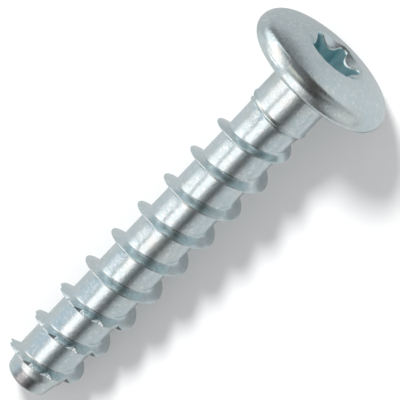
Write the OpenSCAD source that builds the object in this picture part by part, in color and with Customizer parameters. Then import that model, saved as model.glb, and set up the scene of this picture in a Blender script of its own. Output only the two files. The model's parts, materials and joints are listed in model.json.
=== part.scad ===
// Concrete screw with a low domed pan head, a six-lobe drive recess, a plain collar of
// shank under the head and a coarse right-hand thread that cuts its own way into a
// drilled hole. The thread's last turns are notched into saw teeth.
// The screw lies on a flat surface at z = 0, on the rim of its head and a tooth near the
// tip, so its axis leans a few degrees. +X points towards the head, which is higher.

/* [Head] */
// Diameter of the head at its widest
head_d = 14.3; // [13:0.1:18]
// Height of the head's dome above the bearing face, on the axis
head_h = 3.3; // [2.8:0.1:4.2]
// Radius of the shallow dome on top of the head
dome_r = 18.5; // [16:0.5:30]
// Diameter of the edge where the dome meets the rounded rim
dome_edge_d = 12.4; // [11:0.1:12.6]
// Radius of the rounded lower edge of the rim
rim_low_r = 0.95; // [0.5:0.05:1.1]

/* [Drive recess] */
// Width across two opposite lobes of the recess
drive_across_lobes = 5.7; // [5.2:0.05:5.8]
// Width across two opposite ridges between the lobes
drive_across_ridges = 4; // [3.8:0.05:4.2]
// Radius of the rounded end of each lobe
drive_lobe_r = 0.46; // [0.4:0.02:0.5]
// Depth of the recess's straight walls below the top of the dome
drive_depth = 2.9; // [2:0.1:3.1]
// Depth of the pointed floor below the straight walls
drive_floor_depth = 0.5; // [0.2:0.1:0.8]
// Width of the recess's bevel outside the lobes
drive_bevel = 0.2; // [0.1:0.05:0.4]
// Angle of the bevel from the plane square to the axis
drive_bevel_angle = 32; // [20:1:40]
// Angle by which a lobe is turned from the side that faces the floor
drive_turn = 9; // [0:1:30]

/* [Shank] */
// Length of the screw under its head
length = 40.6; // [34:0.1:60]
// Diameter of the plain shank under the head
shank_d = 5.85; // [5.6:0.05:6.2]
// Length of the plain shank under the head
shank_l = 4.9; // [4:0.1:6]
// Radius of the fillet between the head and the shank
neck_r = 0.3; // [0.1:0.05:0.6]
// Height of the lip that the thread rolling leaves at the end of the plain shank
lip_h = 0.1; // [0.05:0.01:0.15]

/* [Thread] */
// Diameter over the thread's crest
thread_d = 7.4; // [6.8:0.1:8]
// Diameter of the core between the turns
core_d = 5.3; // [5:0.05:5.5]
// Distance from one turn to the next
pitch = 3.7; // [3.3:0.1:4.4]
// Width of the flat on the crest
crest_w = 0.14; // [0.08:0.02:0.3]
// Angle of each flank from the plane square to the axis
flank_angle = 20; // [12:1:25]
// Length of the fillet at the foot of each flank
root_fillet = 0.14; // [0.1:0.02:0.4]
// Turns over which the thread rises to its full height below the plain shank
rise_turns = 1.4; // [0.8:0.1:2]

/* [Cutting teeth] */
// Number of saw teeth round one turn
teeth = 11; // [7:1:14]
// Number of turns that are notched, counted from the tip
toothed_turns = 3; // [1:0.5:5]
// Depth of the notches below the crest
notch_depth = 0.44; // [0.1:0.02:0.5]
// Loss of the crest's height from the first notched turn to the last
crest_taper = 0.15; // [0:0.05:0.2]

/* [Tip] */
// Length of the nose
nose_l = 1.6; // [1:0.1:2.5]
// Diameter of the nose where it starts
nose_top_d = 4.8; // [4.5:0.1:5]
// Diameter of the nose where its end is rounded off
nose_d = 4.4; // [3:0.1:4.5]
// Radius of the rounded edge of the flat end
nose_edge_r = 0.45; // [0.1:0.05:0.5]
// Length over which the core steps down to the nose
nose_step_l = 0.5; // [0.3:0.05:0.8]

/* [Hidden] */
$fn = 96;

head_r = head_d / 2;
dome_edge_r = dome_edge_d / 2;
dome_centre = head_h - dome_r;
rim_w = head_r - dome_edge_r;
rim_rise = dome_at(dome_edge_r) - rim_low_r;
rim_high_r = (rim_w * rim_w + rim_rise * rim_rise) / (2 * rim_w);
mouth_r = drive_across_lobes / 2 + drive_bevel;
floor_r = drive_across_ridges / 2 - 0.05;
clear_over_head = 1;
bevel_inset = 0.2;

shank_r = shank_d / 2;
lip_slope_l = 0.15;
lip_flat_l = 0.09;
collar_l = 0.21;
collar_r = (shank_d + core_d) / 4;

core_r = core_d / 2;
thread_r = thread_d / 2;
thread_h = thread_r - core_r;
flank_slope = tan(flank_angle);

// Pieces that join run this far into each other.
embed = 0.4;
shaft_top = shank_l - embed;
thread_top = shank_l + 0.06;
nose_top = length - nose_l;
nose_end_r = nose_d / 2 - nose_edge_r;

// Rows of the shaft's surface follow the thread's helix. Each tooth has four rows, at
// these shares of its angle: two bound its full height, one is the notch's floor and one
// is half way up the slope behind it.
tooth_rows = [0, 0.42, 0.58, 0.79];
tooth_cut = [0, 0, 1, 0.5];
tooth_angle = 360 / teeth;
rows = 4 * teeth;
columns = 7;

// Angles run clockwise seen from the head, so they grow towards the tip. The last turn
// ends at end_angle, where its crest is end_gap above the nose.
end_gap = 0.35;
crest_start = shank_l + 0.15;
rise_angle = 360 * rise_turns;
end_angle = 360 * (nose_top - end_gap - crest_start) / pitch;
tooth_offset = end_angle - tooth_angle * ceil(end_angle / tooth_angle);
fade_angle = tooth_angle;
toothed_from = end_angle - 360 * toothed_turns;
first_row = -rows - 4 * ceil(teeth / 2 + 1);
last_row = 4 * ceil(end_angle / tooth_angle) + 4 * ceil(teeth / 2 + 1);

// The screw rests on the rim of its head and on the two teeth beside one notch. The one
// nearer the tip starts rest_teeth before the thread's end, and touches first.
rest_teeth = 8;
rest_half_angle = tooth_angle * (1 - tooth_rows[1]) / 2;
rest_angle = end_angle - tooth_angle * rest_teeth - rest_half_angle;
rest_drop = crest_at(rest_angle + rest_half_angle) + crest_w / 2;
rest_r = core_r + crest_h(rest_angle + rest_half_angle);
rest_height = head_r - rim_low_r - rest_r * cos(rest_half_angle);
rest_length = rest_drop + rim_low_r;
lean = atan2(rest_height, rest_length) + asin(rim_low_r / norm([rest_height, rest_length]));
bearing_z = rim_low_r + (head_r - rim_low_r) * cos(lean) - rim_low_r * sin(lean);
head_x = dome_at(mouth_r) * cos(lean) + mouth_r * sin(lean);
tip_x = -length * cos(lean) - nose_end_r * sin(lean);

// Height of the dome's surface above the bearing face, at radius r.
function dome_at(r) = dome_centre + sqrt(dome_r * dome_r - r * r);

// Angle of a row, and the number of its tooth in the turn, counted back from the end.
function row_angle(i) = tooth_offset + tooth_angle * (floor(i / 4) + tooth_rows[i - 4 * floor(i / 4)]);
function tooth_number(i) = (ceil(end_angle / tooth_angle) - floor(i / 4) + teeth) % teeth;

// How deep a row lies in a notch, from 0 to 1. Some teeth of each turn run on into the
// next one without a notch.
plain_numbers = [0, 6, 7];
function is_notched(i) = row_angle(i) > toothed_from && search(tooth_number(i), plain_numbers) == [];
function row_cut(i) = is_notched(i) ? tooth_cut[i - 4 * floor(i / 4)] : 0;

// Distance of the crest below the bearing face at an angle.
function crest_at(angle) = crest_start + pitch * angle / 360;

// Share of the thread's full height at an angle: it rises below the plain shank and ends
// within one tooth above the nose.
function rise_at(angle) = let(u = min(1, max(0, angle / rise_angle))) 1 - (1 - u) * (1 - u);
function height_share(angle) = rise_at(angle) * min(1, max(0, (end_angle + fade_angle - angle) / fade_angle));
function taper_at(angle) = crest_taper * min(1, max(0, (angle - toothed_from) / (end_angle - toothed_from)));
function crest_h(angle) = height_share(angle) * (thread_h - taper_at(angle));

// Radius of the core, which steps down above the nose.
function core_at(drop) =
    core_r - (core_r - nose_top_d / 2) * min(1, max(0, (drop - nose_top + nose_step_l) / nose_step_l));

// The thread's section at a row: distance along the axis from the crest, and height over
// the core, for each column. The first column lies half way to the turn above.
function section(i) =
    let(
        share = height_share(row_angle(i)),
        full = crest_h(row_angle(i)),
        cut = min(row_cut(i) * notch_depth, full / 2),
        crest = crest_w / 2 + cut * flank_slope,
        foot = max(crest_w, crest_w / 2 + full * flank_slope),
        fillet = root_fillet / 2 * share
    )
    [
        [-pitch / 2, 0],
        [-foot - root_fillet, 0],
        [-foot + fillet * flank_slope, fillet],
        [-crest, full - cut],
        [crest, full - cut],
        [foot - fillet * flank_slope, fillet],
        [foot + root_fillet, 0]
    ];

// Index of a point of the shaft's grid. Points past either end of the thread belong to
// the ring of points there, and the last column is the next turn's first.
function ring_id(i, ring) = ring * rows + (i - rows * floor(i / rows));
function drop_at(i, j) = crest_at(row_angle(i)) + section(i)[j][0];
function point_id(i, j) =
    j == columns ? point_id(i + rows, 0)
    : drop_at(i, j) <= thread_top ? ring_id(i, 1)
    : drop_at(i, j) >= nose_top ? ring_id(i, 2)
    : len(rings) * rows + (i - first_row) * columns + j;

// A point at an angle, a radius and a distance below the bearing face.
function place(angle, r, drop) = [r * cos(angle), -r * sin(angle), -drop];
function ring_points(r, drop) = [for (i = [0:rows - 1]) place(row_angle(i), r, drop)];
function grid_points() = [
    for (i = [first_row:last_row])
        let(outline = section(i))
            for (p = outline)
                let(drop = crest_at(row_angle(i)) + p[0])
                    place(row_angle(i), core_at(drop) + p[1], drop)
];

// Two triangles for each cell of the grid, without those that have no area.
function cell(a, b, c, d) = [
    for (t = [[a, c, b], [a, d, c]]) if (t[0] != t[1] && t[1] != t[2] && t[0] != t[2]) t
];
function grid_faces() = [
    for (i = [first_row:last_row - 1]) for (j = [0:columns - 1])
        each cell(point_id(i, j), point_id(i + 1, j), point_id(i + 1, j + 1), point_id(i, j + 1))
];
function band_faces(ring) = [
    for (i = [0:rows - 1])
        each cell(ring_id(i, ring), ring_id(i + 1, ring), ring_id(i + 1, ring + 1), ring_id(i, ring + 1))
];

// Rings of the shaft: radius, and distance below the bearing face. The thread lies between
// the second and the third, and the rest go round the edge of the flat end.
rings = [
    [core_r, shaft_top],
    [core_r, thread_top],
    [nose_top_d / 2, nose_top],
    for (a = [0:30:90]) [nose_end_r + nose_edge_r * cos(a), length - nose_edge_r * (1 - sin(a))]
];

// Core, thread and nose in one surface, from inside the plain shank down to the flat tip.
module threaded_shaft() {
    last_ring = len(rings) - 1;
    points = concat([for (ring = rings) each ring_points(ring[0], ring[1])], grid_points());
    faces = concat(
        [[for (i = [0:rows - 1]) ring_id(i, 0)]],
        band_faces(0),
        grid_faces(),
        [for (ring = [2:last_ring - 1]) each band_faces(ring)],
        [[for (i = [rows - 1:-1:0]) ring_id(i, last_ring)]]
    );
    polyhedron(points, faces, convexity = 10);
}

// Half of the head's section: the dome, the rim's two rounded edges and the bearing face.
module head_profile() {
    intersection() {
        translate([0, dome_centre]) circle(r = dome_r);
        square([dome_edge_r, head_h]);
    }
    intersection() {
        translate([head_r - rim_high_r, rim_low_r]) circle(r = rim_high_r);
        translate([dome_edge_r, rim_low_r]) square([rim_w, rim_rise]);
    }
    square([head_r - rim_low_r, rim_low_r]);
    intersection() {
        translate([head_r - rim_low_r, rim_low_r]) circle(r = rim_low_r);
        translate([head_r - rim_low_r, 0]) square(rim_low_r);
    }
}

// Six round lobes joined by the arcs of the ridges that touch them.
module drive_outline() {
    lobe_at = drive_across_lobes / 2 - drive_lobe_r;
    half = drive_across_ridges / 2;
    ridge_r = (lobe_at * lobe_at + half * half - 2 * lobe_at * half * cos(30) - drive_lobe_r * drive_lobe_r)
        / (2 * (drive_lobe_r - half + lobe_at * cos(30)));
    ridge_at = half + ridge_r;
    turn = atan2(ridge_at * sin(30), ridge_at * cos(30) - lobe_at);
    ridge_turn = turn - 30;
    steps = 6;
    polygon([
        for (k = [0:5]) each [
            for (s = [-steps:steps])
                let(a = turn * s / steps)
                    [lobe_at * cos(60 * k) + drive_lobe_r * cos(60 * k + a),
                     lobe_at * sin(60 * k) + drive_lobe_r * sin(60 * k + a)],
            for (s = [-steps + 1:steps - 1])
                let(a = 60 * k + 210 - ridge_turn * s / steps)
                    [ridge_at * cos(60 * k + 30) + ridge_r * cos(a),
                     ridge_at * sin(60 * k + 30) + ridge_r * sin(a)]
        ]
    ]);
}

// The recess for the driver: straight walls, a pointed floor, and a bevel that starts
// outside the lobes and runs down to the ridges.
module drive_recess() {
    floor_z = head_h - drive_depth;
    bevel_low_r = drive_across_ridges / 2 - bevel_inset;
    bevel_w = mouth_r - bevel_low_r;
    slope = tan(drive_bevel_angle);
    translate([0, 0, floor_z]) linear_extrude(drive_depth + clear_over_head) drive_outline();
    translate([0, 0, floor_z - drive_floor_depth]) cylinder(h = drive_floor_depth, r1 = 0, r2 = floor_r);
    translate([0, 0, dome_at(mouth_r) - bevel_w * slope])
        cylinder(h = bevel_w * slope + clear_over_head, r1 = bevel_low_r, r2 = mouth_r + clear_over_head / slope);
}

// Half of the plain shank's section: a fillet under the head, a cylinder, and the lip
// where the thread rolling began.
module shank_profile() {
    steps = 6;
    polygon([
        [0, embed],
        [shank_r + neck_r, embed],
        for (s = [0:steps])
            let(a = 90 + 90 * s / steps)
                [shank_r + neck_r + neck_r * cos(a), -neck_r + neck_r * sin(a)],
        [shank_r, -shank_l + collar_l + lip_flat_l + lip_slope_l],
        [shank_r + lip_h, -shank_l + collar_l + lip_flat_l],
        [shank_r + lip_h, -shank_l + collar_l],
        [collar_r, -shank_l],
        [0, -shank_l]
    ]);
}

module head_and_shank() {
    difference() {
        union() {
            rotate_extrude() head_profile();
            rotate_extrude() shank_profile();
        }
        rotate([0, 0, -drive_turn]) drive_recess();
    }
}

// Laid down, with the notch that it rests over turned to the floor.
module screw() {
    color([0.76, 0.79, 0.81])
        translate([-(head_x + tip_x) / 2, 0, bearing_z]) rotate([0, 90 - lean, 0]) {
            head_and_shank();
            rotate([0, 0, rest_angle]) threaded_shaft();
        }
}

screw();
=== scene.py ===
# %% [markdown]
# # A concrete screw on a studio floor
#
# The object is a zinc-plated screw that cuts its own thread into concrete. It has a low
# domed head with a six-lobe recess, a short plain shank, a coarse thread whose last turns
# are notched into saw teeth, and a blunt tip. It lies on its head's rim and on the thread,
# so its axis leans a little.
#
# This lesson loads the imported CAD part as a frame, lays one fine surface over it and gives
# it a plated finish. Bare metal shows little else than what stands round it, so the rest
# of the lesson is about the floor and the surroundings that the metal mirrors, and ends
# with one lamp and the camera.

# %% Load the frame
import json
import math

import bpy
import numpy as np
from mathutils import Matrix


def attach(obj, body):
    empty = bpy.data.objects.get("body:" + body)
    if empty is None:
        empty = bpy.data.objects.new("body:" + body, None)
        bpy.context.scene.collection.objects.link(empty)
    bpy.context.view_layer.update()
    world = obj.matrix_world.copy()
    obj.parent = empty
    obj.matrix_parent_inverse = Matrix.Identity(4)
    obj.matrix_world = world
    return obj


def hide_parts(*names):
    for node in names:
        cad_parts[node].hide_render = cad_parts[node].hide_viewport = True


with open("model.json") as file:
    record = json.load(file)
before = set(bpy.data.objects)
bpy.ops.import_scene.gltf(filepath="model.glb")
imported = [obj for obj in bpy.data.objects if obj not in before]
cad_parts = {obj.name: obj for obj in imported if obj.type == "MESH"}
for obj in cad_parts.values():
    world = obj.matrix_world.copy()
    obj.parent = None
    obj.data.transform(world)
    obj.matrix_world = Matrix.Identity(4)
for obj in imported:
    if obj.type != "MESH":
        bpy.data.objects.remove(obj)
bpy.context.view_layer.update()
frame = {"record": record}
MM = 0.001

# %% [markdown]
# ## Where the screw lies
#
# The record's mount under the head gives the middle of the bearing face and the direction
# of the tip. All of the screw's shape can then be written in three numbers: an angle round
# the axis, a radius, and a drop, which is the distance below the bearing face. Angles run
# clockwise seen from the head and grow towards the tip, as a right-hand thread does.

# %% The screw's own axes
bearing = next(m for m in frame["record"]["mounts"] if m["name"] == "bearing_face")
bearing_centre = np.array(bearing["pos_m"], float)
to_head = -np.array(bearing["axis"], float)
to_head /= np.linalg.norm(to_head)
side = np.array([0.0, -1.0, 0.0])
over = np.cross(side, to_head)
print("lean in degrees:", round(math.degrees(math.asin(to_head[2])), 2))


def to_row(angle, radius, drop):
    """Row-frame points in metres. The direction of an angle turns from the floor side
    towards `side`: minus cosine times `over`, plus sine times `side`. The point is that
    direction times the radius, less the drop times the axis."""
    angle, radius, drop = np.broadcast_arrays(angle, radius, drop)
    out = -np.cos(angle)[..., None] * over + np.sin(angle)[..., None] * side
    return bearing_centre + MM * (radius[..., None] * out - drop[..., None] * to_head)


# %% [markdown]
# ## Sizes
#
# A scene can't read the CAD source, so the sizes are repeated here, in millimetres and
# degrees. A radius ends in _R, a width in _W, a height in _H and a length along the axis
# in _L.

# %% Sizes of the head and its recess
HEAD_R, HEAD_H, DOME_R, DOME_EDGE_R, RIM_LOW_R = 7.15, 3.3, 18.5, 6.2, 0.95
LOBES_R, RIDGES_R, LOBE_R = 2.85, 2.0, 0.46
DRIVE_DEPTH, DRIVE_FLOOR, DRIVE_BEVEL, MOUTH_ROUND = 2.9, 0.5, 0.2, 0.2
BEVEL_SLOPE, DRIVE_TURN = math.tan(math.radians(32)), math.radians(9)
print("head across:", 2 * HEAD_R, "recess across its lobes:", 2 * LOBES_R)

# %% Sizes of the shank and the nose
LENGTH, SHANK_R, SHANK_L, NECK_R, LIP_H = 40.6, 2.925, 4.9, 0.3, 0.1
NOSE_L, NOSE_TOP_R, NOSE_R, NOSE_EDGE_R, NOSE_STEP_L = 1.6, 2.4, 2.2, 0.45, 0.5
THREAD_TOP, NOSE_TOP = SHANK_L + 0.06, LENGTH - NOSE_L
print("length under the head:", LENGTH, "shank across:", 2 * SHANK_R)

# %% [markdown]
# ## Sizes of the thread
#
# A tooth is measured in shares of its own angle: the land at full height, the cutting
# face, and from its foot the long slope back up, which is slightly hollow. The angle of the
# notch that faces the floor turns the thread to its place.

# %% Sizes of the thread
THREAD_R, CORE_R, PITCH, CREST_W, CREST_EDGE_R, ROOT = 3.7, 2.65, 3.7, 0.14, 0.065, 0.14
FLANK = math.tan(math.radians(20))
RISE_TURNS, TEETH, TOOTHED_TURNS, NOTCH, TAPER, END_GAP = 1.4, 11, 3, 0.44, 0.15, 0.35
LAND, FACE, SLOPE_FROM, SLOPE_CURVE, FACE_CURVE = 0.42, 0.23, 0.64, 1.1, 0.2
PLAIN_NUMBERS, CORE_FLARE = (0, 6, 7), 0.12

CREST_START = SHANK_L + 0.15
TOOTH = 2 * math.pi / TEETH
END = 2 * math.pi * (NOSE_TOP - END_GAP - CREST_START) / PITCH
FLOOR_NOTCH = END - TOOTH * (8 + (1 - LAND) / 2)
print("turns of thread:", round(END / (2 * math.pi), 2))

# %% [markdown]
# ## Rows that follow the teeth
#
# On the real screw, the teeth are cut after the thread is rolled. Evenly spaced rows would
# round off the edge where a tooth's land ends and its cutting face begins, so the rows
# stand close together there. The same rows serve the whole screw, which makes it one
# surface with no seams between its parts.

# %% Row angles
TOOTH_ROWS = np.array(
    [0, 0.06, 0.12, 0.18, 0.24, 0.3, 0.35, 0.39, 0.415, 0.43, 0.445, 0.465]
    + [0.49, 0.52, 0.56, 0.6, 0.65, 0.7, 0.75, 0.8, 0.85, 0.9, 0.94, 0.97]
)
PER_TOOTH = len(TOOTH_ROWS)
PER_TURN = PER_TOOTH * TEETH
LAST_TOOTH = math.ceil(END / TOOTH)
TOOTH_OFFSET = END - TOOTH * LAST_TOOTH


def row_angle(i):
    """Angle of row i: whole teeth, plus the row's share of its own tooth."""
    return TOOTH_OFFSET + TOOTH * (i // PER_TOOTH + TOOTH_ROWS[i % PER_TOOTH])


ring_angles = row_angle(np.arange(PER_TURN)) - FLOOR_NOTCH
print("rows to a turn:", PER_TURN)

# %% [markdown]
# ## How the thread's height changes
#
# The thread grows out of the core below the shank, runs at full height, loses a little of
# it over the notched turns, and ends above the nose. The core changes too: it is wider
# just under the shank, and steps down to the nose. Each change is a function of the angle
# or the drop, so the section can be worked out for all rows at once.


# %% Heights along the thread
def smooth(x):
    """0 below 0, 1 above 1, and an S-curve between: 3 x squared minus 2 x cubed."""
    x = np.clip(x, 0, 1)
    return x * x * (3 - 2 * x)


def height_share(angle):
    """Share of the full height: a parabola that rises over the first turns, then 1, then
    a fall to 0 within one tooth after the last one."""
    rise = 1 - (1 - np.clip(angle / (2 * math.pi * RISE_TURNS), 0, 1)) ** 2
    return rise * np.clip((END + TOOTH - angle) / TOOTH, 0, 1)


def taper(angle):
    """Loss of height in millimetres, which grows evenly over the notched turns."""
    return TAPER * np.clip(1 - (END - angle) / (2 * math.pi * TOOTHED_TURNS), 0, 1)


def core_radius(drop):
    """The core's radius. S-curves widen it over the first millimetre under the shank and
    step it down just above the nose."""
    flare = CORE_FLARE * (1 - smooth(drop - THREAD_TOP))
    step = (CORE_R - NOSE_TOP_R) * smooth((drop - NOSE_TOP) / NOSE_STEP_L + 1)
    return CORE_R + flare - step


def notch_share(i):
    """How deep a row lies in a notch: 0 on the land, then a nearly even fall along the
    cutting face to 1 at its foot, and back to 0 along the slope behind it. Some teeth of
    each turn run on into the next one without a notch."""
    phase = TOOTH_ROWS[i % PER_TOOTH]
    down = np.clip((phase - LAND) / FACE, 0, 1)
    back = np.clip((phase - SLOPE_FROM) / (1 - SLOPE_FROM), 0, 1) ** SLOPE_CURVE
    cut = ((1 - FACE_CURVE) * down + FACE_CURVE * smooth(down)) * (1 - back)
    plain = np.isin((LAST_TOOTH - i // PER_TOOTH) % TEETH, PLAIN_NUMBERS)
    return np.where((row_angle(i) > END - 2 * math.pi * TOOTHED_TURNS) & ~plain, cut, 0)


print("height at the last tooth:", round(THREAD_R - CORE_R - float(taper(END)), 3))

# %% [markdown]
# ## The thread
#
# The thread is a strip that winds round the core. Along the strip runs the row, and across
# it runs the section: core, fillet, flank, crest, and the same again on the other side.
# Each strip's lower edge is the next turn's upper edge, so the turns close on each other.
# A screw modifier could wind a section too, but it could neither cut the teeth nor let the
# thread rise from the core and die out above the nose. A turn and seven teeth are added at
# both ends, so that the strip reaches past the rings that it will be joined to.


# %% The thread's section
def thread_section(i):
    """Offsets along the axis from the crest, and heights over the core, both as arrays
    of rows by columns. One side is worked out from the crest outwards and mirrored:
    a flat with a rounded edge, a straight flank, a foot curved as a quadratic curve, and
    the bare core."""
    share = height_share(row_angle(i))[:, None]
    full = share * (THREAD_R - CORE_R - taper(row_angle(i))[:, None])
    cut = np.minimum(notch_share(i)[:, None] * NOTCH, full / 2)
    top = full - cut
    half_crest = CREST_W / 2 + cut * FLANK
    foot = np.maximum(CREST_W, CREST_W / 2 + full * FLANK)
    edge_r = CREST_EDGE_R * share
    turn = np.radians([90.0, 50.0, 10.0])
    edge_x = half_crest - edge_r + edge_r * np.cos(turn)
    edge_y = top - edge_r + edge_r * np.sin(turn)
    curl = np.minimum(ROOT * share, top * 0.8)
    high_x, high_y = edge_x[:, -1:], edge_y[:, -1:]
    low_x, low_y = foot - curl * FLANK, curl
    thirds = np.array([0.33, 0.67])
    flank_x = high_x + (low_x - high_x) * thirds
    flank_y = high_y + (low_y - high_y) * thirds
    t = np.linspace(0, 1, 6)
    curl_x = (1 - t) ** 2 * low_x + 2 * t * (1 - t) * foot + t * t * (foot + ROOT)
    curl_y = (1 - t) ** 2 * curl
    core_x = foot + ROOT + (PITCH / 2 - foot - ROOT) * np.array([0.5, 1.0])
    x = np.concatenate([edge_x, flank_x, curl_x, core_x], 1)
    y = np.concatenate([edge_y, flank_y, curl_y, 0 * core_x], 1)
    offsets = np.concatenate([-x[:, ::-1], 0 * top, x[:, :-1]], 1)
    heights = np.concatenate([y[:, ::-1], top, y[:, :-1]], 1)
    return offsets, heights


SPARE_ROWS = PER_TURN + 7 * PER_TOOTH
thread_rows = np.arange(-SPARE_ROWS, PER_TOOTH * LAST_TOOTH + SPARE_ROWS + 1)
offsets, heights = thread_section(thread_rows)
print("thread rows and columns:", *offsets.shape)

# %% [markdown]
# ## The recess
#
# A six-lobe recess is six round lobes joined by six round ridges. Seen from the axis, each
# direction meets its wall once, so the wall is a radius that depends on the angle.


# %% Radius of the recess's wall
def recess_radius(angle):
    """Distance from the axis to the wall. Near a lobe it is the far side of the lobe's
    circle, and elsewhere the near side of the ridge's circle, which touches both lobes."""
    lobe_at = LOBES_R - LOBE_R
    c30 = math.cos(math.radians(30))
    ridge_r = (lobe_at**2 + RIDGES_R**2 - 2 * lobe_at * RIDGES_R * c30 - LOBE_R**2) / (
        2 * (LOBE_R - RIDGES_R + lobe_at * c30)
    )
    ridge_at = RIDGES_R + ridge_r
    turn = math.atan2(ridge_at * 0.5, ridge_at * c30 - lobe_at)
    meet = math.atan2(LOBE_R * math.sin(turn), lobe_at + LOBE_R * math.cos(turn))
    a = np.abs((angle + math.pi / 6) % (math.pi / 3) - math.pi / 6)
    b = math.pi / 6 - a
    lobe_half = np.sqrt(np.maximum(LOBE_R**2 - (lobe_at * np.sin(a)) ** 2, 0))
    ridge_half = np.sqrt(np.maximum(ridge_r**2 - (ridge_at * np.sin(b)) ** 2, 0))
    return np.where(a < meet, lobe_at * np.cos(a) + lobe_half, ridge_at * np.cos(b) - ridge_half)


wall = recess_radius(ring_angles - DRIVE_TURN)
print("recess across lobes and ridges:", round(2 * wall.max(), 2), round(2 * wall.min(), 2))

# %% [markdown]
# ## Rings of the recess
#
# Recess, head and shank are rings round the axis: a radius and a drop for each row angle.
# In the recess both follow the wall's outline, so no boolean cut is needed. The rings
# start at the middle of its floor, which is a shallow cone, climb the wall, and cross the
# bevel. Every edge gets a small round, because a sharp one never catches the light. Here
# it is a quadratic curve that starts down the wall and ends out on the bevel.


# %% Rings of the recess
def dome_drop(r):
    """Drop of the dome at a radius: minus its height, on a sphere of the dome's radius."""
    return DOME_R - HEAD_H - np.sqrt(DOME_R**2 - r * r)


recess_floor = DRIVE_DEPTH - HEAD_H
wall_foot = recess_floor - 0.1
mouth_r = LOBES_R + DRIVE_BEVEL
mouth_drop = dome_drop(mouth_r)
wall_top = mouth_drop + (mouth_r - wall) * BEVEL_SLOPE
recess_rings = [(0.02 * wall, recess_floor + DRIVE_FLOOR)]
for share in (0.25, 0.5, 0.75, 0.93):
    cone_r = share * (RIDGES_R - 0.05) + 0 * wall
    recess_rings.append((cone_r, recess_floor + DRIVE_FLOOR * (1 - share)))
recess_rings.append((wall - 0.08, recess_floor + 0.01))
recess_rings.append((wall - 0.02, recess_floor - 0.03))
for share in (0.0, 0.25, 0.5, 0.75):
    recess_rings.append((wall, wall_foot + (wall_top + MOUTH_ROUND - wall_foot) * share))
for t in (0.0, 0.2, 0.4, 0.6, 0.8, 1.0):
    out, down = MOUTH_ROUND * t * t, MOUTH_ROUND * (1 - t) ** 2
    recess_rings.append((wall + out, wall_top + down - out * BEVEL_SLOPE))
for share in (0.25, 0.5, 0.75, 0.95):
    r = wall + MOUTH_ROUND + (mouth_r - wall - MOUTH_ROUND) * share
    recess_rings.append((r, mouth_drop + (mouth_r - r) * BEVEL_SLOPE))
print("rings of the recess:", len(recess_rings))

# %% [markdown]
# ## Rings of the head, the shank and the nose
#
# The head is pressed from the wire, which leaves a low dome and a rim of two radii. Under
# it come the fillet of the neck, the plain shank, and the small lip that the rolling of
# the thread pushes up. The nose is a short cone with a rounded edge and a flat end. A
# lathe profile in a modifier would do for these, but not join the thread row by row.


# %% Rings of the head, the shank and the nose
def arc(centre_r, centre_drop, radius, start, end, steps):
    """Radii and drops along an arc. 0 degrees points outwards and 90 towards the head."""
    a = np.radians(np.linspace(start, end, steps))
    return [(centre_r + radius * math.cos(t), centre_drop - radius * math.sin(t)) for t in a]


rim_rise = -dome_drop(DOME_EDGE_R) - RIM_LOW_R
rim_w = HEAD_R - DOME_EDGE_R
rim_high_r = (rim_w**2 + rim_rise**2) / (2 * rim_w)
rim_end = math.degrees(math.asin(rim_rise / rim_high_r))
turned = [(mouth_r, mouth_drop + 0.01)]
turned += [(r, dome_drop(r)) for r in np.linspace(mouth_r + 0.06, DOME_EDGE_R - 0.05, 14)]
turned += arc(HEAD_R - rim_high_r, -RIM_LOW_R, rim_high_r, rim_end - 3, 0, 14)
turned += arc(HEAD_R - RIM_LOW_R, -RIM_LOW_R, RIM_LOW_R, -7, -90, 12)
turned += [(r, 0.0) for r in (5.6, 4.6, 3.7)]
turned += arc(SHANK_R + NECK_R, NECK_R, NECK_R, 90, 180, 7)

lip = SHANK_L - 0.45
LIP_SHAPE = [(0, -0.3), (0, 0), (0.03, 0.05), (0.08, 0.11), (LIP_H, 0.15), (LIP_H, 0.19)]
LIP_SHAPE += [(0.07, 0.25), (0.02, 0.32), (-0.05, 0.4), (-0.11, 0.46)]
turned += [(SHANK_R, 1.2), (SHANK_R, 2.6)]
turned += [(SHANK_R + out, lip + down) for out, down in LIP_SHAPE]

side_l = NOSE_L - NOSE_EDGE_R
nose = []
for t in (0, 0.25, 0.5, 0.75, 0.95):
    nose.append((NOSE_TOP_R - (NOSE_TOP_R - NOSE_R) * t, NOSE_TOP + side_l * t))
nose += arc(NOSE_R - NOSE_EDGE_R, LENGTH - NOSE_EDGE_R, NOSE_EDGE_R, -10, -90, 9)
nose += [(1.0, LENGTH), (0.02, LENGTH)]
print("turned rings:", len(turned), "nose rings:", len(nose), "rim radius:", round(rim_high_r, 3))

# %% [markdown]
# ## Numbering the points
#
# Rings and strip share their row angles, so a point of the strip that would lie above the
# thread's first ring or below the nose's is simply that ring's point. That joins the strip
# to the rings with no seam to weld afterwards.


# %% Points and their numbers
def ring_points(rings):
    """Points of a list of rings, each a radius and a drop, at the row angles."""
    return np.stack([to_row(ring_angles, r + 0 * ring_angles, d + 0 * ring_angles) for r, d in rings])


rings = recess_rings + turned + [(CORE_R + CORE_FLARE, THREAD_TOP)] + nose
numbers = np.arange(len(rings) * PER_TURN).reshape(len(rings), PER_TURN)
nose_at = len(rings) - len(nose)
thread_ring, nose_ring = numbers[nose_at - 1], numbers[nose_at]

strip_angles = row_angle(thread_rows)[:, None]
drops = CREST_START + PITCH * strip_angles / (2 * math.pi) + offsets
strip_points = to_row(strip_angles - FLOOR_NOTCH, core_radius(drops) + heights, drops)
turn_place = np.broadcast_to((thread_rows % PER_TURN)[:, None], drops.shape)
strip = numbers.size + np.arange(drops.size).reshape(drops.shape)
strip = np.where(drops <= THREAD_TOP, thread_ring[turn_place], strip)
strip = np.where(drops >= NOSE_TOP, nose_ring[turn_place], strip)
points = np.concatenate([ring_points(rings).reshape(-1, 3), strip_points.reshape(-1, 3)])
print("points before the unused ones go:", len(points))

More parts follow.
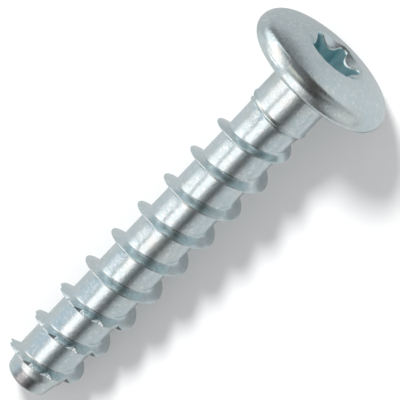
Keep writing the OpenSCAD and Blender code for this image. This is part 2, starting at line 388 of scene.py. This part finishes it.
# %% [markdown]
# ## One closed surface
#
# Four-cornered cells join each ring to the next and each row of the strip to the next, and
# are split into triangles. Cells that have lost their area at the strip's ends are dropped,
# a small cap closes each end, and the surface comes out closed, with all faces outwards.


# %% Build the mesh
def band(upper, lower):
    """Cells between two rings of point numbers, the first ring nearer the head."""
    return np.stack([upper, lower, np.roll(lower, -1), np.roll(upper, -1)], 1)


def keep_real(cells):
    """Triangles from four-cornered cells, facing outwards, without those that use a point
    twice."""
    tris = np.concatenate([cells[:, [0, 2, 1]], cells[:, [0, 3, 2]]])
    real = (tris[:, 0] != tris[:, 1]) & (tris[:, 1] != tris[:, 2]) & (tris[:, 0] != tris[:, 2])
    return tris[real]


whole = np.concatenate([strip[:-PER_TURN], strip[PER_TURN:, :1]], 1)
corners = [whole[:-1, :-1], whole[:-1, 1:], whole[1:, 1:], whole[1:, :-1]]
joined = [k for k in range(len(rings) - 1) if k != nose_at - 1]
cells = [band(numbers[k], numbers[k + 1]) for k in joined] + [np.stack(corners, -1).reshape(-1, 4)]
tris = keep_real(np.concatenate(cells))
caps = np.stack([numbers[0], numbers[-1][::-1]])

used = np.unique(np.concatenate([tris.ravel(), caps.ravel()]))
renumber = np.zeros(len(points), int)
renumber[used] = np.arange(len(used))
mesh = bpy.data.meshes.new("screw_surface")
mesh.from_pydata(points[used], [], renumber[tris].tolist() + renumber[caps].tolist())
mesh.validate()
mesh.shade_smooth()
screw = bpy.data.objects.new("plated_screw", mesh)
bpy.context.scene.collection.objects.link(screw)
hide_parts("screw")
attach(screw, "root")

p = points[tris]
volume = np.einsum("ij,ij->i", p[:, 0], np.cross(p[:, 1], p[:, 2])).sum() / 6 / MM**3
print("triangles:", len(tris), "volume in mm3:", round(volume, 1))

# %% [markdown]
# ## Tools for values that follow a direction or a place
#
# The finish changes a little from place to place, and floor and surroundings from one
# direction to another. All of them need the same few steps: how far a direction or a place
# lies along an axis, a soft edge at some value, and masks multiplied together.


# %% Node helpers
def node(kind, tree, **values):
    """A new node, with the named properties set on it or on its input sockets."""
    made = tree.nodes.new(kind)
    for name, value in values.items():
        if name in made.inputs:
            made.inputs[name].default_value = value
        else:
            setattr(made, name, value)
    return made


def along(tree, vector, axis):
    """How far a direction or a place lies along an axis: their dot product."""
    dot = node("ShaderNodeVectorMath", tree, operation="DOT_PRODUCT")
    dot.inputs[1].default_value = axis
    tree.links.new(vector, dot.inputs[0])
    return dot.outputs["Value"]


def edge(tree, value, low, high):
    """0 at `low`, 1 at `high`, constant outside them and an S-curve between."""
    made = node("ShaderNodeMapRange", tree, interpolation_type="SMOOTHSTEP")
    made.inputs["From Min"].default_value = low
    made.inputs["From Max"].default_value = high
    tree.links.new(value, made.inputs["Value"])
    return made.outputs["Result"]


def product(tree, *factors):
    """All factors multiplied."""
    result = factors[0]
    for factor in factors[1:]:
        made = node("ShaderNodeMath", tree, operation="MULTIPLY")
        tree.links.new(result, made.inputs[0])
        tree.links.new(factor, made.inputs[1])
        result = made.outputs[0]
    return result


# %% [markdown]
# ## Tools for colours
#
# A colour ramp holds no value above 1, but a lit white wall is brighter than that. Levels
# are therefore stored as shares of the brightest one, and the shader that shows them gets
# it as its strength.

# %% Colour helpers
BRIGHTEST = 1.6


def as_colour(level, brightest):
    """A grey or a colour as a share of the brightest level, with full alpha."""
    channels = level if isinstance(level, tuple) else (level, level, level)
    return (*(c / brightest for c in channels), 1)


def ramp(tree, value, stops, brightest=BRIGHTEST):
    """Colours along a value. Each stop is a value and a grey or a colour, which is stored
    as a share of the brightest level."""
    low, high = stops[0][0], stops[-1][0]
    share = node("ShaderNodeMapRange", tree)
    share.inputs["From Min"].default_value = low
    share.inputs["From Max"].default_value = high
    tree.links.new(value, share.inputs["Value"])
    made = node("ShaderNodeValToRGB", tree)
    while len(made.color_ramp.elements) < len(stops):
        made.color_ramp.elements.new(0.5)
    for element, (at, level) in zip(made.color_ramp.elements, stops):
        element.position = (at - low) / (high - low)
        element.color = as_colour(level, brightest)
    tree.links.new(share.outputs["Result"], made.inputs["Fac"])
    return made.outputs["Color"]


def mix(tree, share, first, second, brightest=BRIGHTEST):
    """The first colour where the share is 0, and the second where it is 1."""
    made = node("ShaderNodeMix", tree, data_type="RGBA")
    tree.links.new(share, made.inputs["Factor"])
    for name, colour in (("A", first), ("B", second)):
        if isinstance(colour, (float, tuple)):
            made.inputs[name].default_value = as_colour(colour, brightest)
        else:
            tree.links.new(colour, made.inputs[name])
    return made.outputs["Result"]


# %% [markdown]
# ## Zinc plating
#
# Bright zinc is a bluish metal with a fine frosty grain. What makes it look real is that
# colour, roughness and slope all vary a little, so reflections break up at their edges.
# Noises of four sizes do that: a grain for the slope, a mottle for colour and gloss, broad
# patches, and a fine one for frosty speckles. An image texture would need an unwrapped
# surface, and noise on the object's own coordinates doesn't.

# %% Noises of the plating
plating = bpy.data.materials.new("zinc_plating")
plating.use_nodes = True
pt = plating.node_tree
pt.nodes.clear()
place = node("ShaderNodeTexCoord", pt).outputs["Object"]
GRAIN, MOTTLE, PATCHES, SPECKLES = 5200.0, 900.0, 260.0, 2600.0


def noise(scale, detail, roughness):
    """Noise on the object's own coordinates. The scale is in cells to a metre."""
    made = node("ShaderNodeTexNoise", pt, Scale=scale, Detail=detail, Roughness=roughness)
    pt.links.new(place, made.inputs["Vector"])
    return made.outputs["Fac"]


grain = noise(GRAIN, 3.0, 0.6)
mottle = noise(MOTTLE, 4.0, 0.6)
patches = noise(PATCHES, 2.0, 0.5)
speckle = edge(pt, noise(SPECKLES, 2.0, 0.5), 0.52, 0.68)
print("cells in mm:", [round(1 / (MM * s), 2) for s in (GRAIN, MOTTLE, PATCHES, SPECKLES)])

# %% [markdown]
# ## Where on the screw
#
# The film on the plating differs inside the recess and on the nose, and the recess also gets
# painted light, so the material has to know the place. The same radius and drop as in the
# mesh are worked out in nodes: the drop is a dot product with the axis, and the radius the
# length of a cross product with it. A mask painted on the mesh would do too, but it would
# end in steps as wide as a triangle.
# The recess is what lies below the line of its bevel, not far outside its lobes, and not
# below the head.

# %% Masks of the recess and the nose
FILM_R, FILM_DROP, FILM_EDGE = 2.95, 0.1, 0.15
from_bearing = node("ShaderNodeVectorMath", pt, operation="SUBTRACT")
from_bearing.inputs[1].default_value = bearing_centre
pt.links.new(place, from_bearing.inputs[0])
out_of_axis = node("ShaderNodeVectorMath", pt, operation="CROSS_PRODUCT")
out_of_axis.inputs[1].default_value = to_head / MM
pt.links.new(from_bearing.outputs[0], out_of_axis.inputs[0])
radius = node("ShaderNodeVectorMath", pt, operation="LENGTH")
pt.links.new(out_of_axis.outputs[0], radius.inputs[0])
drop = along(pt, from_bearing.outputs[0], -to_head / MM)
below_bevel = node("ShaderNodeMath", pt, operation="MULTIPLY_ADD")
below_bevel.inputs[1].default_value = BEVEL_SLOPE
pt.links.new(radius.outputs["Value"], below_bevel.inputs[0])
pt.links.new(drop, below_bevel.inputs[2])
bevel_line = mouth_drop + mouth_r * BEVEL_SLOPE
in_recess = product(
    pt,
    edge(pt, below_bevel.outputs[0], bevel_line, bevel_line + FILM_EDGE),
    edge(pt, radius.outputs["Value"], FILM_R + 0.03, FILM_R - 0.03),
    edge(pt, drop, FILM_DROP + 0.05, FILM_DROP),
)

MARK_OVER, MARK_SIDE, MARK_R, MARK_UP = 0.995, -0.1, 2.3, 0.7
mark_out = MARK_OVER * over + MARK_SIDE * side
mark_place = bearing_centre + MM * (MARK_R * mark_out - (LENGTH - MARK_UP) * to_head)
from_mark = node("ShaderNodeVectorMath", pt, operation="DISTANCE")
from_mark.inputs[1].default_value = mark_place
pt.links.new(place, from_mark.inputs[0])
pinched = product(
    pt,
    edge(pt, from_mark.outputs["Value"], 1.7 * MM, 0.8 * MM),
    edge(pt, drop, NOSE_TOP, NOSE_TOP + 0.2),
    edge(pt, mottle, 0.1, 0.6),
)
print("nose mark at:", np.round(mark_place, 4))

# %% [markdown]
# ## The film's colours
#
# The clear film over the zinc is thicker where the bath drained last, and turns the metal
# straw-coloured in broad patches and teal inside the recess. On the nose, a dark mark
# stays where the blank was pinched off. Each colour varies with the mottle between two
# near ones, because an even colour looks like paint.

# %% The film's colours
zinc = ramp(pt, mottle, [(0.3, (0.61, 0.73, 0.76)), (0.7, (0.7, 0.8, 0.83))], 1)
straw = ramp(pt, mottle, [(0.3, (0.64, 0.72, 0.72)), (0.7, (0.73, 0.79, 0.79))], 1)
teal = ramp(pt, mottle, [(0.3, (0.42, 0.66, 0.7)), (0.7, (0.5, 0.73, 0.77))], 1)
FROST, PINCHED_GREY = (0.78, 0.85, 0.87), (0.32, 0.33, 0.34)
plated = mix(pt, edge(pt, patches, 0.48, 0.62), zinc, straw)
frosted = mix(pt, speckle, plated, FROST, 1)
film = mix(pt, in_recess, frosted, teal)
film = mix(pt, pinched, film, PINCHED_GREY, 1)
print("frost and mark:", FROST, PINCHED_GREY)

# %% [markdown]
# ## Gloss and slope
#
# Plating is smooth where the mottle is low and duller where it is high, and duller again
# inside the recess, where the punch left a rougher wall. There the metallic also drops, so
# the teal shows as a diffuse colour too: painted light that lightens the walls in place of
# the light bounced inside the recess. The grain is a bump of 0.03 mm at most, too fine to
# be worth modelling.

# %% Gloss, slope and shader
SHINY, SATIN, RECESS_DULLER, RECESS_METAL = 0.1, 0.27, 0.15, 0.85
gloss = node("ShaderNodeMapRange", pt)
gloss.inputs["To Min"].default_value = SHINY
gloss.inputs["To Max"].default_value = SATIN
pt.links.new(mottle, gloss.inputs["Value"])
dull = node("ShaderNodeMath", pt, operation="MULTIPLY_ADD")
dull.inputs[1].default_value = RECESS_DULLER
pt.links.new(in_recess, dull.inputs[0])
pt.links.new(gloss.outputs["Result"], dull.inputs[2])
bump = node("ShaderNodeBump", pt, Strength=0.4, Distance=0.03 * MM)
pt.links.new(grain, bump.inputs["Height"])
# Painted light: metallic below 1 inside the recess lets its teal show as a diffuse colour, which
# lightens the walls in place of bounced light.
recess_lightening_metallic = node("ShaderNodeMapRange", pt)
recess_lightening_metallic.inputs["To Min"].default_value = 1.0
recess_lightening_metallic.inputs["To Max"].default_value = RECESS_METAL
pt.links.new(in_recess, recess_lightening_metallic.inputs["Value"])
metal = node("ShaderNodeBsdfPrincipled", pt)
pt.links.new(film, metal.inputs["Base Color"])
pt.links.new(recess_lightening_metallic.outputs["Result"], metal.inputs["Metallic"])
pt.links.new(dull.outputs[0], metal.inputs["Roughness"])
pt.links.new(bump.outputs["Normal"], metal.inputs["Normal"])
shown = node("ShaderNodeOutputMaterial", pt)
pt.links.new(metal.outputs["BSDF"], shown.inputs["Surface"])
screw.data.materials.append(plating)
print("nodes in the plating:", len(pt.nodes))

# %% [markdown]
# ## Where the camera looks from
#
# The photograph looks down on the screw from beyond its head. The camera's place was
# fitted to the turns of the thread: 420 mm away, 22 degrees off the plane square to the
# axis, a few degrees round the axis from the top, and rolled so that the head is at the
# upper right. The surroundings are written in the same directions, because they were
# read off the reflections that this camera sees.

# %% Directions as the camera has them
DISTANCE, TILT, ROLL, PX_PER_MM, AZIMUTH = 420.0, 21.946, 0.253, 11.0789, 3.5
AIM_DROP, AIM_SIDE, AIM_UP, PHOTO_TURN = 22.0, 0.22, -5.636, 43.5
tilt, roll, turn, azimuth = np.radians([TILT, ROLL, PHOTO_TURN, AZIMUTH])
view_over = math.cos(azimuth) * over - math.sin(azimuth) * side
view_side = math.cos(azimuth) * side + math.sin(azimuth) * over
print("rightward:", np.round(view_side, 3), "over:", np.round(view_over, 3))

# %% [markdown]
# ## The floor
#
# The photograph's floor is white, with one soft grey shadow. Its diffuse colour is set so
# that lamp and surroundings together bring it just to white. For the metal's rays it is
# painted darker, with painted shade beside the head, and a faint painted glow keeps the
# shadow from turning black there. A Light Path node tells the metal's rays from the camera's.

# %% The floor
FLOOR_HALF, SEEN, MIRRORED, MIRRORED_BY_HEAD, MIRRORED_GLOW = 0.6, 0.88, 0.46, 0.36, 0.1
f = FLOOR_HALF
floor_mesh = bpy.data.meshes.new("floor")
floor_mesh.from_pydata([(-f, -f, 0), (f, -f, 0), (f, f, 0), (-f, f, 0)], [], [(0, 1, 2, 3)])
floor = bpy.data.objects.new("floor", floor_mesh)
bpy.context.scene.collection.objects.link(floor)
white = bpy.data.materials.new("white_floor")
white.use_nodes = True
ft = white.node_tree
ft.nodes.clear()
floor_path = node("ShaderNodeLightPath", ft)
mirrored = floor_path.outputs["Is Glossy Ray"]
spot = node("ShaderNodeTexCoord", ft).outputs["Object"]
headward_place = along(ft, spot, (1, 0, 0))
leftward_place = along(ft, spot, (0, 1, 0))
# Painted shade: for the metal's rays the floor is darker beside the head, on its left.
painted_shade_by_head = product(
    ft, edge(ft, headward_place, 0.008, 0.016), edge(ft, leftward_place, -0.008, 0.001)
)
mirrored_floor = mix(ft, painted_shade_by_head, MIRRORED, MIRRORED_BY_HEAD, 1)
matte = node("ShaderNodeBsdfDiffuse", ft)
ft.links.new(mix(ft, mirrored, SEEN, mirrored_floor, 1), matte.inputs["Color"])
# Painted glow: an emission that only the metal's rays see, which keeps the mirrored shadow from
# turning black.
mirrored_glow_level = node("ShaderNodeMath", ft, operation="MULTIPLY")
mirrored_glow_level.inputs[1].default_value = MIRRORED_GLOW
ft.links.new(mirrored, mirrored_glow_level.inputs[0])
mirrored_glow = node("ShaderNodeEmission", ft, Color=(1, 1, 1, 1))
ft.links.new(mirrored_glow_level.outputs[0], mirrored_glow.inputs["Strength"])
lit_floor = node("ShaderNodeAddShader", ft)
ft.links.new(matte.outputs[0], lit_floor.inputs[0])
ft.links.new(mirrored_glow.outputs[0], lit_floor.inputs[1])
print("floor across in metres:", 2 * FLOOR_HALF)

# %% [markdown]
# ## A room and a board in the mirror
#
# Beyond the head the metal shows a dark room instead of the floor, and to the left of that
# a white board. Both begin along slanted lines, which the dark band and the white edge on
# the head's rim give away. Only mirrored rays see them, so no wall stands in the picture.

# %% A room and a board in the mirror
ROOM = [(0.03, 0.27), (0.05, 0.2), (0.1, 0.16), (0.16, (0.13, 0.12, 0.11))]
BOARD = 1.2
room_starts = product(
    ft, edge(ft, along(ft, spot, (1, 2.8, 0)), 0.045, 0.056), edge(ft, headward_place, 0.025, 0.035)
)
board_starts = product(
    ft, edge(ft, along(ft, spot, (-0.3, 1, 0)), 0.014, 0.026), edge(ft, headward_place, 0.012, 0.03)
)
beyond = node("ShaderNodeEmission", ft, Strength=BRIGHTEST)
beyond_colour = mix(ft, board_starts, ramp(ft, headward_place, ROOM), BOARD)
ft.links.new(beyond_colour, beyond.inputs["Color"])
either = node("ShaderNodeMath", ft, operation="MAXIMUM")
ft.links.new(room_starts, either.inputs[0])
ft.links.new(board_starts, either.inputs[1])
floor_mix = node("ShaderNodeMixShader", ft)
ft.links.new(product(ft, either.outputs[0], mirrored), floor_mix.inputs[0])
ft.links.new(lit_floor.outputs[0], floor_mix.inputs[1])
ft.links.new(beyond.outputs[0], floor_mix.inputs[2])
print("levels of room and board:", [level for at, level in ROOM], BOARD)

# %% [markdown]
# ## The floor's far part
#
# Far from the screw the lamp's light falls off, and the floor would turn grey towards the
# horizon. There, what the camera sees of it fades into plain white. The shadow lies well
# inside, so it stays.

# %% The floor's far part
FADE_FROM, FADE_TO = 0.06, 0.14
from_middle = node("ShaderNodeVectorMath", ft, operation="LENGTH")
ft.links.new(spot, from_middle.inputs[0])
far_off = edge(ft, from_middle.outputs["Value"], FADE_FROM, FADE_TO)
plain_white = node("ShaderNodeEmission", ft, Color=(1, 1, 1, 1), Strength=1.0)
faded = node("ShaderNodeMixShader", ft)
ft.links.new(product(ft, far_off, floor_path.outputs["Is Camera Ray"]), faded.inputs[0])
ft.links.new(floor_mix.outputs[0], faded.inputs[1])
ft.links.new(plain_white.outputs[0], faded.inputs[2])
floor_out = node("ShaderNodeOutputMaterial", ft)
ft.links.new(faded.outputs[0], floor_out.inputs["Surface"])
floor.data.materials.append(white)
print("nodes in the floor:", len(ft.nodes))

# %% [markdown]
# ## The surroundings
#
# The screw lay in a white tent with a dark gap for the camera. Across the screw, from left
# to right, the metal shows the tent's wall with a seam in it, the gap, and a grey side.
# Three such rows of greys are enough: one for what lies towards the tip and overhead, one
# for what lies over the head, and one for what lies low beyond the head. Each level stands
# at its place between -1, fully left, and 1, fully right.

# %% Rows of levels
WHITE, BRIGHT_WHITE = (1.42, 1.31, 1.28), (1.52, 1.42, 1.39)
RIGHT_SIDE = [(0.45, 0.12), (0.56, 0.2), (0.64, 0.36), (0.75, 0.52), (0.95, 0.68)]
TENT = [(-1.0, 0.8), (-0.88, BRIGHT_WHITE), (-0.7, BRIGHT_WHITE), (-0.5, WHITE), (-0.12, WHITE)]
TENT += [(0.07, 0.45), (0.3, 0.19)]
OVER_HEAD = [(-1.0, (1.6, 1.5, 1.45)), (-0.8, (1.56, 1.34, 1.25)), (-0.67, 0.68)]
OVER_HEAD += [(-0.33, (0.44, 0.41, 0.38)), (-0.1, 0.18)]
DARK_GAP = [(0.04, 0.08), (0.32, (0.052, 0.046, 0.04))]
LOW_LEFT = [(-0.85, 1.0), (-0.66, 0.6), (-0.48, 0.25), (-0.2, 0.17), (0.05, (0.08, 0.07, 0.06))]
LOW_RIGHT = [(0.25, 0.08), (0.42, 0.32), (0.7, 0.55)]
SEAM, FAR_WALL, CREAM = 0.5, 0.72, (0.84, 0.77, 0.66)
print("levels in the rows:", len(TENT + RIGHT_SIDE), len(OVER_HEAD + DARK_GAP + RIGHT_SIDE))

# %% [markdown]
# ## Joining the rows
#
# Soft edges in the direction of the head join the three rows, and add the seam, a grey far
# wall and a cream card that tints the rim. Cards of emitting mesh could do the same, but
# far from the screw they would only stand in the way of the lamp and of other views.

# %% Joining the rows
world = bpy.data.worlds.new("surroundings")
bpy.context.scene.world = world
world.use_nodes = True
wt = world.node_tree
wt.nodes.clear()
direction = node("ShaderNodeTexCoord", wt).outputs["Generated"]
rightward = along(wt, direction, view_side)
headward = along(wt, direction, to_head)

tent = ramp(wt, rightward, TENT + RIGHT_SIDE)
seam = product(wt, edge(wt, rightward, -0.67, -0.6), edge(wt, rightward, -0.48, -0.55))
tent = mix(wt, seam, tent, SEAM)
far_wall = product(
    wt,
    edge(wt, rightward, -0.42, -0.56),
    edge(wt, headward, -0.36, -0.42),
    edge(wt, headward, -0.52, -0.47),
)
tent = mix(wt, far_wall, tent, FAR_WALL)
over_head = ramp(wt, rightward, OVER_HEAD + DARK_GAP + RIGHT_SIDE)
cream_card = product(
    wt,
    edge(wt, rightward, -0.6, -0.48),
    edge(wt, rightward, -0.12, -0.26),
    edge(wt, headward, 0.4, 0.48),
)
over_head = mix(wt, cream_card, over_head, CREAM)
low_part = ramp(wt, rightward, LOW_LEFT + LOW_RIGHT)
upper = mix(wt, edge(wt, headward, 0.64, 0.78), over_head, low_part)
all_round = mix(wt, edge(wt, headward, -0.12, 0.14), tent, upper)
print("nodes for what the metal shows:", len(wt.nodes))

# %% [markdown]
# ## Who sees which surroundings
#
# The metal sees the rows, the camera sees plain white, and all else gets one even soft
# light. Light from the rows would tint the floor and make its shadow uneven.

# %% Who sees which surroundings
SOFT_LIGHT = 0.64
mirror_side = node("ShaderNodeBackground", wt, Strength=BRIGHTEST)
wt.links.new(all_round, mirror_side.inputs["Color"])
plain = node("ShaderNodeBackground", wt, Color=(1, 1, 1, 1), Strength=1.0)
soft = node("ShaderNodeBackground", wt, Color=(0.985, 0.99, 1, 1), Strength=SOFT_LIGHT)
wpath = node("ShaderNodeLightPath", wt)
for_eye = node("ShaderNodeMixShader", wt)
for_metal = node("ShaderNodeMixShader", wt)
world_out = node("ShaderNodeOutputWorld", wt)
wt.links.new(wpath.outputs["Is Camera Ray"], for_eye.inputs[0])
wt.links.new(soft.outputs[0], for_eye.inputs[1])
wt.links.new(plain.outputs[0], for_eye.inputs[2])
wt.links.new(wpath.outputs["Is Glossy Ray"], for_metal.inputs[0])
wt.links.new(for_eye.outputs[0], for_metal.inputs[1])
wt.links.new(mirror_side.outputs[0], for_metal.inputs[2])
wt.links.new(for_metal.outputs[0], world_out.inputs["Surface"])
print("soft light:", SOFT_LIGHT)

# %% [markdown]
# ## A grey card beside the tip
#
# Towards the tip, the left part of the core turns from white to a bluish grey, and near the
# head it doesn't. A thing far off looks the same from every turn, so this one stands near,
# and is built: a card that only mirrored rays see, so it casts no shadow.


# %% The card
def in_view(s, o, h):
    """A point in metres, from millimetres rightward, over the screw and headward of the
    bearing face's middle."""
    return bearing_centre + MM * (s * view_side + o * view_over + h * to_head)


CARD_TOP, CARD_FOOT, CARD_STARTS, CARD_ENDS = (-39, 44), (-57, -2), -46, -110
CARD_COLOUR = (0.64, 0.69, 0.74, 1)
card_points = [
    in_view(*CARD_TOP, CARD_STARTS),
    in_view(*CARD_FOOT, CARD_STARTS),
    in_view(*CARD_FOOT, CARD_ENDS),
    in_view(*CARD_TOP, CARD_ENDS),
]
card_mesh = bpy.data.meshes.new("grey_card")
card_mesh.from_pydata([tuple(c) for c in card_points], [], [(0, 1, 2, 3)])
card = bpy.data.objects.new("grey_card", card_mesh)
bpy.context.scene.collection.objects.link(card)
card.visible_camera = card.visible_diffuse = card.visible_shadow = False
card_grey = bpy.data.materials.new("card_grey")
card_grey.use_nodes = True
ct = card_grey.node_tree
ct.nodes.clear()
glow = node("ShaderNodeEmission", ct, Color=CARD_COLOUR, Strength=1.0)
card_out = node("ShaderNodeOutputMaterial", ct)
ct.links.new(glow.outputs[0], card_out.inputs["Surface"])
card_mesh.materials.append(card_grey)
print("card along the screw, in mm:", CARD_STARTS - CARD_ENDS)

# %% [markdown]
# ## The key lamp
#
# One soft lamp stands beyond the top of the photograph, so the shadow falls towards its
# bottom. Where the head's shadow starts gives the lamp's direction, how far the shadow
# reaches beyond the thread gives its height, and the soft edge gives its size. The metal
# doesn't mirror it, because the tent's wall already stands for it there.

# %% The key lamp
LAMP_FAR, LAMP_SIZE, LAMP_POWER = 0.45, 0.085, 1.74
lamp_data = bpy.data.lights.new("key", "AREA")
lamp_data.shape = "DISK"
lamp_data.size = LAMP_SIZE
lamp_data.energy = LAMP_POWER
lamp = bpy.data.objects.new("key", lamp_data)
bpy.context.scene.collection.objects.link(lamp)
away = np.array([0.59, 0.68, 1.0])
away /= np.linalg.norm(away)
lamp.location = LAMP_FAR * away
lamp.rotation_euler = (math.acos(away[2]), 0, math.atan2(away[1], away[0]) + math.pi / 2)
lamp.visible_glossy = False
print("lamp's height over the floor in degrees:", round(math.degrees(math.asin(away[2])), 1))

# %% [markdown]
# ## The camera
#
# The camera's matrix holds its right, up and back directions and its place. The last turn
# lays the screw across the picture as the photograph has it.

# %% The camera
plane_up = math.cos(tilt) * to_head - math.sin(tilt) * view_over
back = math.cos(tilt) * view_over + math.sin(tilt) * to_head
across = math.cos(roll) * view_side + math.sin(roll) * plane_up
upright = math.cos(roll) * plane_up - math.sin(roll) * view_side
target = bearing_centre - AIM_DROP * MM * to_head + MM * (AIM_SIDE * across - AIM_UP * upright)
right = math.cos(turn) * across + math.sin(turn) * upright
up = math.cos(turn) * upright - math.sin(turn) * across
camera_data = bpy.data.cameras.new("camera")
camera_data.lens = PX_PER_MM * DISTANCE / 400 * camera_data.sensor_width
camera_data.clip_start = 0.01
camera = bpy.data.objects.new("camera", camera_data)
bpy.context.scene.collection.objects.link(camera)
eye = target + DISTANCE * MM * back
camera.matrix_world = Matrix([[*row, 0] for row in (right, up, back)] + [[*eye, 1]]).transposed()
bpy.context.scene.camera = camera
bpy.context.scene.view_settings.view_transform = "Standard"
print("lens in mm:", round(camera_data.lens, 1), "eye:", np.round(eye, 4))
